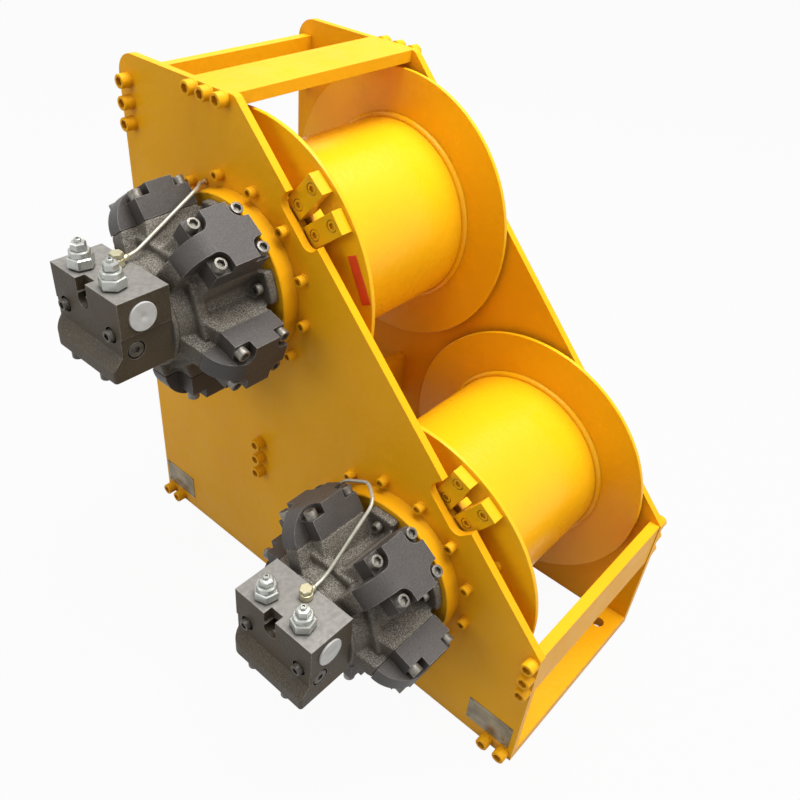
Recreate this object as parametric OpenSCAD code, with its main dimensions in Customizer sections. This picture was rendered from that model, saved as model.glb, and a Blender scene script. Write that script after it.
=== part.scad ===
// Twin-drum hydraulic winch. Two rope drums lie across a frame of two bolted side plates.
// Each drum is driven by a five-cylinder radial piston motor through a gearbox inside the barrel.
// Millimetres. +Z is up, the drum axes run along X, the sloped side faces -Y, the motors stand at -X.
// The origin is the centre of the four base holes, at the foot of the frame.

/* [Frame] */

// Height of the side plates
plate_height = 1000; // [900:1:1200]
// Depth of the side plates from rear edge to front edge
plate_depth = 995; // [900:1:1200]
// Thickness of the side plates
plate_thickness = 14; // [10:1:20]
// Width over the outer faces of the two side plates
frame_width = 432; // [400:1:560]
// Length of the level top edge
top_length = 298; // [260:1:360]
// Height of the upright front edge
front_height = 298; // [260:1:360]
// Radius of the rear top corner
rear_corner_radius = 40; // [20:1:80]
// Radius of the corner between the top edge and the slope
top_corner_radius = 12; // [6:1:30]
// Thickness of the cross bars and the top plate
bar_thickness = 20; // [16:1:25]
// Height of the cross bars
bar_height = 100; // [80:1:110]
// Width of the top plate
top_plate_width = 104; // [90:1:110]
// Gap from the top edge's front end to the top plate
top_plate_gap = 6; // [2:1:20]
// Gap from the rear edge to the rear cross bar
rear_bar_gap = 16; // [10:1:30]
// Depth of the rear cross bar's top below the top edge
rear_bar_drop = 30; // [20:1:60]
// Distance of the middle cross bar's front face behind the middle of the frame
middle_bar_position = 148; // [140:1:160]
// Height of the middle cross bar's lower edge
middle_bar_bottom = 266; // [220:1:300]
// Width of the foot bars
foot_width = 70; // [60:1:90]
// Thickness of the foot bars
foot_thickness = 25; // [20:1:30]
// Distance of the base holes from the middle of the frame, across
base_hole_across = 152; // [120:1:170]
// Radius of the base holes
base_hole_radius = 12; // [9:0.5:14]
// Pitch of the screws that hold the cross bars
bar_screw_pitch = 36; // [30:1:38]
// Radius of the clearance holes for those screws
bar_screw_hole_radius = 8.75; // [6:0.25:9]

/* [Rope drums] */

// Distance of the upper drum's axis behind the middle of the frame
upper_axis_y = 206; // [200:1:212]
// Height of the upper drum's axis
upper_axis_z = 702; // [695:1:705]
// Distance of the lower drum's axis in front of the middle of the frame
lower_axis_y = 186; // [180:1:192]
// Height of the lower drum's axis
lower_axis_z = 296; // [292:1:300]
// Radius of the drum flanges
flange_radius = 269; // [250:1:272]
// Thickness of the drum flanges
flange_thickness = 8; // [6:1:12]
// Outside radius of the barrels
barrel_radius = 178; // [170:1:184]
// Wall of the barrels
barrel_wall = 12; // [8:1:16]
// Thickness of the barrels' end discs
end_disc_thickness = 16; // [12:1:24]
// Gap between the motor-side plate and the drum flange next to it
motor_side_gap = 28; // [26:1:34]
// Gap between the far plate and the drum flange next to it
far_side_gap = 9; // [7:1:14]
// Leg of the welds between barrel and flanges
weld_leg = 7; // [4:1:10]
// Angle of the rope slot of the upper drum, from straight up towards the front
upper_slot_angle = 45; // [35:1:50]
// Angle of the rope slot of the lower drum, from straight up towards the front
lower_slot_angle = 29.5; // [20:0.5:40]
// Length of the sticker on the upper drum's flange
sticker_length = 80; // [50:1:82]
// Width of that sticker
sticker_width = 20; // [10:1:30]
// Thickness of that sticker
sticker_thickness = 0.6; // [0.3:0.1:1]
// Distance of the sticker's outer edge inside the flange's rim
sticker_inset = 16; // [15:1:40]
// Turn of the sticker about the drum's axis
sticker_angle = 63; // [50:1:80]
// Thickness of the rope wedge blocks
wedge_thickness = 22; // [18:1:23]
// Length of the rope wedge blocks along the drum's radius
wedge_length = 75; // [60:1:76]
// Width of the rope wedge blocks
wedge_width = 38; // [30:1:40]
// Width of the rope slot at its inner end
slot_width = 11; // [10:1:14]

/* [Gearboxes] */

// Radius of the round ring outside the motor-side plate
ring_radius = 146.5; // [140:0.5:150]
// Length of that ring
ring_length = 31; // [24:1:40]
// Radius of the circle of screws round the ring
ring_screw_circle = 168; // [160:1:170]
// Number of screws round the ring
ring_screw_count = 13; // [10:1:14]
// Angle of the first of those screws from straight up towards the front
ring_screw_phase = 16; // [0:1:27]
// Radius of the clearance holes for those screws
ring_screw_hole_radius = 6.75; // [5:0.25:8]
// Radius of the gearbox's spigot that carries the drum
spigot_radius = 130; // [120:1:140]
// Reach of that spigot into the drum
spigot_reach = 66; // [50:1:90]
// Radial running clearance between drum and spigot or shaft
running_clearance = 0.08; // [0.05:0.01:0.1]
// Radius of the drum's far-end shaft
shaft_radius = 40; // [30:1:50]
// Wall of the bearing housings round that shaft
bearing_wall = 20; // [14:1:26]
// Radius of the bearing housings on the far plate
bearing_flange_radius = 105; // [95:1:115]
// Height of the bearing housings off the far plate
bearing_height = 26; // [22:1:32]

/* [Motors] */

// Distance of the cylinder axes outside the motor-side plate
cylinder_distance = 98; // [94:1:104]
// Radius from the motor axis to the top of the cylinder covers
cover_radius = 178; // [174:1:182]
// Radius from the motor axis to the joint between the covers and the casting
joint_radius = 125; // [120:1:130]
// Radius at which the heads of the cover screws sit
seat_radius = 160; // [150:1:164]
// Width of the cylinder blocks along the circumference
cylinder_width = 98; // [94:1:102]
// Length of the cylinder blocks along the motor axis
cylinder_length = 99; // [94:1:104]
// Length of the nose of the cylinder blocks
nose_length = 29; // [22:1:32]
// Width of the nose of the cylinder blocks
nose_width = 36; // [30:1:36]
// Spacing of the cover screws along the motor axis
cover_screw_spacing_x = 81; // [78:1:84]
// Spacing of the cover screws along the circumference
cover_screw_spacing_t = 71; // [68:1:73]
// Radius of the pockets round the cover screws
cover_pocket_radius = 17; // [14:0.5:18]
// Radius of the crankcase between the cylinders
case_radius = 94; // [86:1:100]
// Radius from the motor axis to the edge of the webs between the noses
web_radius = 104; // [98:1:106]
// Thickness of the webs
web_thickness = 14; // [8:1:16]
// Radius of the motor's mounting flange
motor_flange_radius = 137; // [130:1:140]
// Thickness of the motor's mounting flange
motor_flange_thickness = 17; // [12:1:18]
// Radius of the circle of screws in that flange
motor_screw_circle = 116; // [112:1:118]
// Distance of the valve block's inner face outside the motor-side plate
block_distance = 198; // [196:1:210]
// Thickness of the valve block along the motor axis
block_thickness = 88; // [80:1:96]
// Width of the valve block
block_width = 168; // [160:1:180]
// Height of the valve block's top above the motor axis
block_top = 88; // [84:1:92]
// Height of the step under the upper valve block above the motor axis
block_step = 29; // [26:1:32]
// How far the lower valve block stands out in front of the upper one
block_toe = 17; // [10:1:22]
// Radius of the lower valve block's outer corner at the rear
toe_radius = 18; // [10:1:24]
// Radius of the lower valve block's outer corner at the front
near_toe_radius = 5; // [3:1:12]
// Depth of the lower valve block's underside below the motor axis
block_bottom = 42; // [38:1:48]
// Distance of each relief valve from the motor axis
valve_offset = 40; // [36:1:44]
// Size across the flats of the relief valves
valve_flats = 36; // [32:1:38]
// Radius of the port caps
cap_radius = 23; // [18:1:24]
// Radius of the brake pipes
pipe_radius = 3; // [2.5:0.25:3.5]
// Radius of the fittings that the brake pipes end in
fitting_radius = 5.5; // [4.5:0.5:7]
// Height of those fittings off the side plate
fitting_height = 6; // [4:1:10]
// Angle of the upper pipe's fitting round its ring, from straight up towards the rear
upper_fitting_angle = 27.5; // [24:0.5:31]
// Angle of the lower pipe's fitting round its ring, from straight up towards the rear
lower_fitting_angle = 54; // [50:1:58]

/* [Plates] */

// Length of the bare nameplates
nameplate_length = 94; // [80:1:100]
// Height of the bare nameplates
nameplate_height = 60; // [40:1:64]

/* [Hidden] */

$fn = 96;
rear = plate_depth / 2;
front = -plate_depth / 2;
x_out = frame_width / 2;
x_in = x_out - plate_thickness;
top_front = rear - top_length;
slope_run = top_front - front;
slope_drop = plate_height - front_height;
slope_len = sqrt(slope_run * slope_run + slope_drop * slope_drop);
slope_dir = [-slope_run / slope_len, -slope_drop / slope_len];
slope_angle = atan2(slope_dir[1], slope_dir[0]);
upper_axis = [upper_axis_y, upper_axis_z];
lower_axis = [-lower_axis_y, lower_axis_z];
x_near = -x_in + motor_side_gap;
x_far = x_in - far_side_gap;
wedge_inner = flange_radius - 8 - wedge_length;
gearbox_flange_radius = wedge_inner - 6;
gearbox_flange_thickness = motor_side_gap - 8;
notch_length = 96;
bar_bottom_rear = plate_height - rear_bar_drop - bar_height;
bar_bottom_front = front_height - bar_height;
foot_y = rear - foot_width / 2;
base_y = foot_y;
x_ring = -x_out - ring_length;
x_cyl = -x_out - cylinder_distance;
x_cyl_in = x_cyl + cover_screw_spacing_x / 2 + 7.5;
x_cyl_nose = x_cyl_in - cylinder_length;
x_nose = x_cyl_nose - nose_length;
x_foot = x_nose - 12;
x_block_in = -x_out - block_distance;
x_block_out = x_block_in - block_thickness;
valve_height = 46;
steel_yellow = [0.95, 0.68, 0.05];
cast_grey = [0.24, 0.23, 0.22];
bright = [0.72, 0.72, 0.70];

// Turns a flat drawing in (Y, Z) into a slab that starts at x and runs along +X
module slab(x, t) {
    translate([x, 0, 0]) rotate([90, 0, 90]) linear_extrude(t) children();
}

// Turns a profile in (distance from axis, X) round an axis along X at a = [y, z]
module turned(a) {
    translate([0, a[0], a[1]]) rotate([0, 90, 0]) rotate_extrude() children();
}

// Round bar along X from x, centred on a = [y, z]
module rod_x(a, x, len, r) {
    translate([x, a[0], a[1]]) rotate([0, 90, 0]) cylinder(h = len, r = r);
}

// Turns a piece drawn along +Z to stand along the direction d
module along(d) {
    rotate([0, acos(d[2] / norm(d)), atan2(d[1], d[0])]) children();
}

// Straight round rod between two points
module rod(p, q, r) {
    translate(p) along(q - p) cylinder(h = norm(q - p), r = r);
}

// Corner q between straight legs to p and r, rounded over the length d of each leg
function rounded(p, q, r, d) =
    let (u = (p - q) / norm(p - q), v = (r - q) / norm(r - q), n = max(2, ceil((180 - acos(u * v)) / 32)))
    [for (i = [0 : n]) let (t = i / n) q + d * ((1 - t) * (1 - t) * u + t * t * v)];

// Path through the corners c; each inner corner is rounded over the length that d gives for it
function smooth(c, d) = [c[0], for (k = [1 : len(c) - 2]) each rounded(c[k - 1], c[k], c[k + 1], d[k - 1]),
    c[len(c) - 1]];

// Rounded rod through a list of points
module rod_path(pts, r) {
    for (i = [0 : len(pts) - 2]) rod(pts[i], pts[i + 1], r);
    for (i = [1 : len(pts) - 2]) translate(pts[i]) along(pts[i + 1] - pts[i - 1]) sphere(r + 0.4);
}

// What is cut away to round the corner p between unit directions u and v
module corner_cut(p, u, v, r) {
    half = acos(u * v) / 2;
    c = p + (u + v) / norm(u + v) * r / sin(half);
    l = r / tan(half);
    difference() {
        polygon([p, p + u * l, c, p + v * l]);
        translate(c) circle(r);
    }
}

// Length from the slope's top end to the foot of a square from the axis a
function slope_place(a) = (a - [top_front, plate_height]) * slope_dir;
function notch_start(i) = i == 0 ? slope_place(upper_axis) - notch_length / 2
    : slope_place(lower_axis) - notch_length / 2 - 66;
function notch_depth(i) = i == 0 ? 27 : 40;

// Opening in the slope that gives access to the rope wedge
module notch_shape(i) {
    r = 18;
    d = notch_depth(i);
    translate([top_front, plate_height] + slope_dir * notch_start(i)) rotate(slope_angle) {
        translate([0, -60]) square([notch_length, 60 + d - r]);
        translate([r, -60]) square([notch_length - 2 * r, 60 + d]);
        for (x = [r, notch_length - r]) translate([x, d - r]) circle(r);
    }
}

// Three screw places in a row through p, as (Y, Z), along the direction d
function row_of_three(p, d) = [for (k = [-1, 0, 1]) p + k * bar_screw_pitch * d];

// Screw places of the cross members: rear bar, top plate, middle bar, front bar, rear foot, front foot
function bar_screws() = concat(
    row_of_three([rear - rear_bar_gap - bar_thickness / 2, bar_bottom_rear + bar_height / 2], [0, 1]),
    row_of_three([top_front + top_plate_gap + top_plate_width / 2, plate_height - bar_thickness / 2], [1, 0]),
    row_of_three([middle_bar_position + bar_thickness / 2, middle_bar_bottom + bar_height / 2], [0, 1]),
    row_of_three([front + 2 + bar_thickness / 2, bar_bottom_front + bar_height / 2], [0, 1]),
    [for (y = [foot_y, -foot_y], k = [-0.5, 0.5]) [y + k * bar_screw_pitch, foot_thickness / 2]]);

module plate_outline() {
    difference() {
        polygon([[rear, 0], [rear, plate_height], [top_front, plate_height], [front, front_height], [front, 0]]);
        corner_cut([rear, plate_height], [0, -1], [-1, 0], rear_corner_radius);
        corner_cut([top_front, plate_height], [1, 0], slope_dir, top_corner_radius);
        for (p = bar_screws()) translate(p) circle(bar_screw_hole_radius);
    }
}

module side_plate_motor_side() {
    color(steel_yellow) slab(-x_out, plate_thickness) difference() {
        plate_outline();
        for (i = [0, 1]) notch_shape(i);
        for (a = [upper_axis, lower_axis]) translate(a) {
            circle(spigot_radius);
            for (k = [0 : ring_screw_count - 1])
                rotate(ring_screw_phase + k * 360 / ring_screw_count)
                    translate([0, ring_screw_circle]) circle(ring_screw_hole_radius);
        }
    }
}

module side_plate_far() {
    color(steel_yellow) slab(x_in, plate_thickness) difference() {
        plate_outline();
        for (a = [upper_axis, lower_axis]) translate(a) circle(shaft_radius + bearing_wall);
    }
}

// Flat cross member between the side plates with screw holes in its ends
module cross_bar(y, z, w, h, holes) {
    difference() {
        translate([-x_in, y, z]) cube([2 * x_in, w, h]);
        for (p = holes) for (s = [-1, 1])
            rod_x(p, s > 0 ? x_in - 40 : -x_in - 1, 41, 7);
    }
}

function pick(a, b) = [for (i = [a : b]) bar_screws()[i]];

module rear_bar() {
    color(steel_yellow)
        cross_bar(rear - rear_bar_gap - bar_thickness, bar_bottom_rear,
            bar_thickness, bar_height, pick(0, 2));
}

module top_plate() {
    color(steel_yellow)
        cross_bar(top_front + top_plate_gap, plate_height - bar_thickness,
            top_plate_width, bar_thickness, pick(3, 5));
}

module middle_bar() {
    color(steel_yellow)
        cross_bar(middle_bar_position, middle_bar_bottom, bar_thickness, bar_height, pick(6, 8));
}

module front_bar() {
    color(steel_yellow) cross_bar(front + 2, bar_bottom_front, bar_thickness, bar_height, pick(9, 11));
}

module foot(y0, holes) {
    difference() {
        cross_bar(y0, 0, foot_width, foot_thickness, holes);
        for (s = [-1, 1]) translate([s * base_hole_across, y0 + foot_width / 2, -1])
            cylinder(h = foot_thickness + 2, r = base_hole_radius);
    }
}

module rear_foot() {
    color(steel_yellow) foot(rear - foot_width, pick(12, 13));
}

module front_foot() {
    color(steel_yellow) foot(front, pick(14, 15));
}

module nameplate(y) {
    color(bright) translate([-x_out - 1, y, 30]) cube([1, nameplate_length, nameplate_height]);
}

module nameplate_rear() {
    nameplate(rear - 6 - nameplate_length);
}

module nameplate_front() {
    nameplate(front + 10);
}

// Gearbox: ring outside the plate, bolting flange inside it and the spigot that carries the drum
module gearbox(a) {
    difference() {
        turned(a) polygon([[0, x_ring], [ring_radius - 2, x_ring], [ring_radius, x_ring + 2],
            [ring_radius, -x_out], [spigot_radius, -x_out], [spigot_radius, -x_in],
            [gearbox_flange_radius, -x_in], [gearbox_flange_radius, -x_in + gearbox_flange_thickness],
            [spigot_radius, -x_in + gearbox_flange_thickness], [spigot_radius, x_near + spigot_reach - 6],
            [spigot_radius - 6, x_near + spigot_reach], [0, x_near + spigot_reach]]);
        for (k = [0 : ring_screw_count - 1]) {
            w = ring_screw_phase + k * 360 / ring_screw_count;
            rod_x(a + ring_screw_circle * [-sin(w), cos(w)], -x_in - 1, gearbox_flange_thickness + 2, 5.5);
        }
    }
}

module upper_gearbox() {
    color(steel_yellow) gearbox(upper_axis);
}

module lower_gearbox() {
    color(steel_yellow) gearbox(lower_axis);
}

// Bearing housing bolted on the far plate; the drum's far-end shaft turns in its bore
module bearing(a) {
    bore = shaft_radius + running_clearance;
    spig = shaft_radius + bearing_wall;
    difference() {
        turned(a) polygon([[bore, x_in], [spig, x_in], [spig, x_out], [bearing_flange_radius, x_out],
            [bearing_flange_radius, x_out + 14], [bearing_flange_radius - 25, x_out + 14],
            [bearing_flange_radius - 29, x_out + bearing_height], [0, x_out + bearing_height],
            [0, x_out + bearing_height - 8], [bore, x_out + bearing_height - 8]]);
        for (k = [0 : 7]) {
            w = 22.5 + k * 45;
            rod_x(a + (bearing_flange_radius - 13) * [-sin(w), cos(w)], x_out - 1, 16, 6.75);
        }
    }
}

module upper_bearing() {
    color(steel_yellow) bearing(upper_axis);
}

module lower_bearing() {
    color(steel_yellow) bearing(lower_axis);
}

// Barrel with the far end disc and its shaft
module barrel(a) {
    w = weld_leg;
    x0 = x_near + flange_thickness;
    x1 = x_far - flange_thickness;
    turned(a) polygon([[barrel_radius - barrel_wall, x0], [barrel_radius + w, x0], [barrel_radius, x0 + w],
        [barrel_radius, x1 - w], [barrel_radius + w, x1], [0, x1], [0, x1 - end_disc_thickness],
        [barrel_radius - barrel_wall, x1 - end_disc_thickness]]);
    rod_x(a, x1, x_out + bearing_height - 12 - x1, shaft_radius);
}

module upper_barrel() {
    color(steel_yellow) barrel(upper_axis);
}

module lower_barrel() {
    color(steel_yellow) barrel(lower_axis);
}

// Place at radius u and sideways offset v from the rope slot's centre line at angle w
function slot_place(a, w, u, v) = a + u * [-sin(w), cos(w)] + v * [-cos(w), -sin(w)];

module flange_motor_side(a, w) {
    slab(x_near, flange_thickness) difference() {
        translate(a) circle(flange_radius);
        translate(a) circle(spigot_radius + running_clearance);
        translate(a) rotate(w) translate([-slot_width / 2 - 1, barrel_radius + 8]) square([slot_width + 2, 30]);
    }
}

module flange_far(a) {
    slab(x_far - flange_thickness, flange_thickness) difference() {
        translate(a) circle(flange_radius);
        translate(a) circle(shaft_radius);
    }
}

module upper_flange_motor_side() {
    color(steel_yellow) flange_motor_side(upper_axis, upper_slot_angle);
}

module lower_flange_motor_side() {
    color(steel_yellow) flange_motor_side(lower_axis, lower_slot_angle);
}

module upper_flange_far() {
    color(steel_yellow) flange_far(upper_axis);
}

module lower_flange_far() {
    color(steel_yellow) flange_far(lower_axis);
}

// The two blocks that clamp the rope's end in a slot widening outwards
module wedge_blocks(a, w) {
    slab(x_near - wedge_thickness, wedge_thickness) translate(a) rotate(w) for (s = [-1, 1])
        translate([s * slot_width / 2, wedge_inner]) rotate(-s * 6) difference() {
            translate([s > 0 ? 0 : -wedge_width, 0]) square([wedge_width, wedge_length]);
            for (u = [16, wedge_length - 14]) translate([s * wedge_width / 2, u]) circle(5.5);
        }
}

module upper_wedge_blocks() {
    color(steel_yellow) wedge_blocks(upper_axis, upper_slot_angle);
}

module lower_wedge_blocks() {
    color(steel_yellow) wedge_blocks(lower_axis, lower_slot_angle);
}

module upper_sticker() {
    color([0.75, 0.1, 0.08]) slab(x_near - sticker_thickness, sticker_thickness)
        translate(upper_axis) rotate(sticker_angle)
            translate([-sticker_length - 6, flange_radius - sticker_inset - sticker_width])
                square([sticker_length, sticker_width]);
}

// Five-way copies round the motor axis; a is the axis, children are drawn pointing up at the origin
module five(a) {
    translate([0, a[0], a[1]]) for (k = [0 : 4]) rotate([36 + 72 * k, 0, 0]) children();
}

// Turns a side view in (X, distance from the motor axis) into a slab w wide, centred on the axis
module side_view(w) {
    translate([0, w / 2, 0]) rotate([90, 0, 0]) linear_extrude(w) children();
}

// Casting: mounting flange, crankcase and five cylinder blocks, with webs between their noses
module motor_case(a) {
    x_flange = x_ring - motor_flange_thickness;
    cone = (x_cyl_nose - x_foot) / (joint_radius - 70);
    difference() {
        union() {
            turned(a) polygon([[0, x_ring], [case_radius + 14, x_ring], [case_radius + 14, x_flange],
                [case_radius, x_flange - 14], [case_radius, x_cyl_nose], [case_radius - 8, x_foot], [0, x_foot]]);
            for (k = [0 : 4]) intersection() {
                rod_x(a, x_flange, motor_flange_thickness, motor_flange_radius);
                translate([x_flange, a[0], a[1]]) rotate([72 * k, 0, 0])
                    translate([0, -27, case_radius - 10]) cube([motor_flange_thickness, 54, 60]);
            }
            five(a) {
                side_view(cylinder_width) polygon([[x_cyl_in, 40], [x_cyl_in, joint_radius],
                    [x_cyl_nose, joint_radius], [x_cyl_nose - 19, 70], [x_cyl_nose - 25, 40]]);
                side_view(nose_width) polygon([[x_cyl, 40], [x_cyl, joint_radius],
                    [x_nose, joint_radius], [x_foot, 76], [x_foot, 40]]);
                rotate([36, 0, 0]) translate([x_cyl_nose - web_thickness, -46, 50])
                    cube([web_thickness + 4, 92, web_radius - 50]);
            }
        }
        for (k = [0 : 4]) rod_x(a + motor_screw_circle * [-sin(72 * k), cos(72 * k)], x_flange - 1,
            motor_flange_thickness + 2, 6.75);
    }
}

// Outline of a cover seen from outside, as (X, along the circumference)
module cover_outline() {
    translate([x_cyl_nose, -cylinder_width / 2]) square([cylinder_length, cylinder_width]);
    translate([x_nose, -nose_width / 2]) square([x_cyl - x_nose, nose_width]);
}

// Pocket for a screw's head, open towards the corner that lies at x, t = 1 or -1
module cover_pocket(x, t) {
    r = cover_pocket_radius;
    circle(r);
    translate([-r, t > 0 ? 0 : -30]) square([2 * r, 30]);
    translate([x > 0 ? 0 : -30, -r]) square([30, 2 * r]);
}

// Five deep covers with a rounded nose and a pocket at each corner for the screw's head
module cylinder_covers(a) {
    h = cover_radius - joint_radius;
    five(a) difference() {
        translate([0, 0, joint_radius]) linear_extrude(h) difference() {
            cover_outline();
            for (x = [-1, 1], t = [-1, 1])
                translate([x_cyl + x * cover_screw_spacing_x / 2, t * cover_screw_spacing_t / 2]) circle(6);
        }
        translate([0, 0, seat_radius]) linear_extrude(h) for (x = [-1, 1], t = [-1, 1])
            translate([x_cyl + x * cover_screw_spacing_x / 2, t * cover_screw_spacing_t / 2])
                cover_pocket(x, t);
        side_view(cylinder_width + 20) difference() {
            translate([x_nose - 20, joint_radius]) square([h + 20, h + 20]);
            translate([x_nose + h + 5, joint_radius - 4]) circle(sqrt((h + 5) * (h + 5) + 16));
        }
    }
}

module distributor(a) {
    turned(a) polygon([[0, x_foot], [case_radius - 6, x_foot], [case_radius - 6, x_block_in], [0, x_block_in]]);
}

module valve_block(a) {
    toe = x_block_out - block_toe;
    wide = block_width / 2 - 3;
    translate([0, a[0], a[1]]) difference() {
        union() {
            translate([x_block_out, -block_width / 2, block_step])
                cube([block_thickness, block_width, block_top - block_step]);
            intersection() {
                side_view(block_width - 6) polygon([[x_block_in, -block_bottom], [x_block_in, block_step],
                    [x_block_out, block_step], [x_block_out, block_step - 30], [toe, block_step - 50],
                    [toe, -block_bottom]]);
                translate([0, 0, -block_bottom - 1]) linear_extrude(block_bottom + block_step + 2) difference() {
                    translate([toe, -wide]) square([block_thickness + block_toe, 2 * wide]);
                    corner_cut([toe, wide], [1, 0], [0, -1], toe_radius);
                    corner_cut([toe, -wide], [1, 0], [0, 1], near_toe_radius);
                }
            }
        }
        translate([x_block_out - 1, -7, block_top - 22]) cube([17, 25, 23]);
        translate([x_block_out - 1, 5.5, block_top - 32]) rotate([0, 90, 0]) cylinder(h = 31, r = 13);
        for (s = [-1, 1]) translate([x_block_out + 24, s * (block_width / 2 - 10), 2])
            rotate([-90, 0, 0]) translate([0, 0, s > 0 ? 0 : -11]) cylinder(h = 11, r = 15);
    }
}

module relief_valves(a) {
    for (s = [-1, 1]) translate([x_block_out + 26, a[0] + s * valve_offset, a[1] + block_top]) {
        cylinder(h = 19, r = valve_flats / sqrt(3), $fn = 6);
        translate([0, 0, 19]) cylinder(h = 10, r = 16);
        translate([0, 0, 29]) cylinder(h = 12, r = 12, $fn = 6);
        translate([0, 0, 41]) cylinder(h = valve_height - 41, r = 5);
    }
}

module port_caps(a) {
    for (s = [-1, 1])
        translate([x_block_out + 39, a[0] + s * block_width / 2, a[1] + block_step + 26])
            rotate([s > 0 ? -90 : 90, 0, 0]) cylinder(h = 3, r = cap_radius);
}

// Where a brake pipe starts, relative to its motor axis, and the direction in which it leaves the banjo
banjo_x = x_block_in - 22;
eye_height = block_top + 5.3;
pipe_dir = [0.98, 0, 0.19] / norm([0.98, 0, 0.19]);
function pipe_start(y) = [banjo_x, y, eye_height] + 20 * pipe_dir;

// Place at the height h over the side plate's face, on the circle on which the fittings stand
fitting_circle = ring_radius + fitting_radius + 5;
function over_plate(w, h) = [-x_out - h, fitting_circle * sin(w), fitting_circle * cos(w)];

// Banjo bolt with its eye on the valve block, and the fitting on the side plate
module pipe_fittings(a, y, w) {
    translate([0, a[0], a[1]]) {
        translate([banjo_x, y, block_top]) {
            cylinder(h = 14, r = 11);
            translate([0, 0, 14]) cylinder(h = 8, r = 11, $fn = 6);
        }
        rod([banjo_x, y, eye_height], pipe_start(y), 5);
        rod(over_plate(w, 0), over_plate(w, fitting_height), fitting_radius);
    }
}

upper_banjo_y = 9;
lower_banjo_y = -5;
upper_route = smooth([pipe_start(upper_banjo_y), pipe_start(upper_banjo_y) + 15 * pipe_dir,
    [x_cyl_in + 4, 36, joint_radius + 27], over_plate(upper_fitting_angle, fitting_height + 8),
    over_plate(upper_fitting_angle, fitting_height)], [9, 14, 4]);
lower_route = smooth([pipe_start(lower_banjo_y), pipe_start(lower_banjo_y) + 24 * pipe_dir,
    [x_cyl + 31, 0, cover_radius + 5], [x_cyl_in + 12, 38, cover_radius + 4],
    [x_cyl_in + 16, 95, joint_radius + 20], over_plate(lower_fitting_angle, fitting_height + 14),
    over_plate(lower_fitting_angle, fitting_height)], [16, 18, 14, 20, 8]);

module upper_brake_pipe() {
    color(bright) translate([0, upper_axis[0], upper_axis[1]]) rod_path(upper_route, pipe_radius);
}

module lower_brake_pipe() {
    color(bright) translate([0, lower_axis[0], lower_axis[1]]) rod_path(lower_route, pipe_radius);
}

module upper_motor_case() { color(cast_grey) motor_case(upper_axis); }
module upper_cylinder_covers() { color(cast_grey) cylinder_covers(upper_axis); }
module upper_distributor() { color(cast_grey) distributor(upper_axis); }
module upper_valve_block() { color(cast_grey) valve_block(upper_axis); }
module upper_relief_valves() { color(bright) relief_valves(upper_axis); }
module upper_port_caps() { color([0.9, 0.9, 0.9]) port_caps(upper_axis); }
module upper_pipe_fittings() {
    color([0.7, 0.62, 0.35]) pipe_fittings(upper_axis, upper_banjo_y, upper_fitting_angle);
}
module lower_motor_case() { color(cast_grey) motor_case(lower_axis); }
module lower_cylinder_covers() { color(cast_grey) cylinder_covers(lower_axis); }
module lower_distributor() { color(cast_grey) distributor(lower_axis); }
module lower_valve_block() { color(cast_grey) valve_block(lower_axis); }
module lower_relief_valves() { color(bright) relief_valves(lower_axis); }
module lower_port_caps() { color([0.9, 0.9, 0.9]) port_caps(lower_axis); }
module lower_pipe_fittings() {
    color([0.7, 0.62, 0.35]) pipe_fittings(lower_axis, lower_banjo_y, lower_fitting_angle);
}

side_plate_motor_side();
side_plate_far();
top_plate();
rear_bar();
middle_bar();
front_bar();
front_foot();
rear_foot();
nameplate_rear();
nameplate_front();
upper_gearbox();
lower_gearbox();
upper_bearing();
lower_bearing();
upper_barrel();
upper_flange_motor_side();
upper_flange_far();
upper_wedge_blocks();
upper_sticker();
lower_barrel();
lower_flange_motor_side();
lower_flange_far();
lower_wedge_blocks();
upper_motor_case();
upper_cylinder_covers();
upper_distributor();
upper_valve_block();
upper_relief_valves();
upper_port_caps();
upper_pipe_fittings();
upper_brake_pipe();
lower_motor_case();
lower_cylinder_covers();
lower_distributor();
lower_valve_block();
lower_relief_valves();
lower_port_caps();
lower_pipe_fittings();
lower_brake_pipe();
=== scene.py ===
"""Looks of the twin-drum hydraulic winch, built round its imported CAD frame."""

from math import atan2, cos, pi, radians, sin, tau
from random import Random

import bmesh
import bpy
from mathutils import Matrix, Vector


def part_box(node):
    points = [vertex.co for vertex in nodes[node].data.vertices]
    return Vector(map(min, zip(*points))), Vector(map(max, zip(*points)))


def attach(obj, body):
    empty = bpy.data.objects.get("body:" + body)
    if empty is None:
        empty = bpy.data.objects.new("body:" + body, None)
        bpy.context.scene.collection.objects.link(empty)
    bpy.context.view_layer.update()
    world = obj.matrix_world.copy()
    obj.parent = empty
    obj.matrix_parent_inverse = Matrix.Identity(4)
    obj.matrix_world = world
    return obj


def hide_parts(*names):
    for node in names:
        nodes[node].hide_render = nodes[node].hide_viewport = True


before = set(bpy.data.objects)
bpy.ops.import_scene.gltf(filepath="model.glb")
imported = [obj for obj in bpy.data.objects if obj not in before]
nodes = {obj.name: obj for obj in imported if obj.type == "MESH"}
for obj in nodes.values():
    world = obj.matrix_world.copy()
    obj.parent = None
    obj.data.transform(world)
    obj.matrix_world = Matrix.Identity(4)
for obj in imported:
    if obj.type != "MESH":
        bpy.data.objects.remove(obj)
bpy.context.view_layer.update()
bpy.ops.object.select_all(action="DESELECT")


# ---- Camera ----
# The winch was photographed from its motor side, from 1.4 m above the floor and looking down, with
# a lens of about 37 mm on a 36 mm wide sensor.

camera_place = Vector((-1.0104, -0.7638, 1.3966))
camera_right = Vector((0.66701, -0.74210, 0.06624))
camera_up = Vector((0.42376, 0.45099, 0.78552))
camera_ahead = Vector((0.61281, 0.49587, -0.61529))

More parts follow.
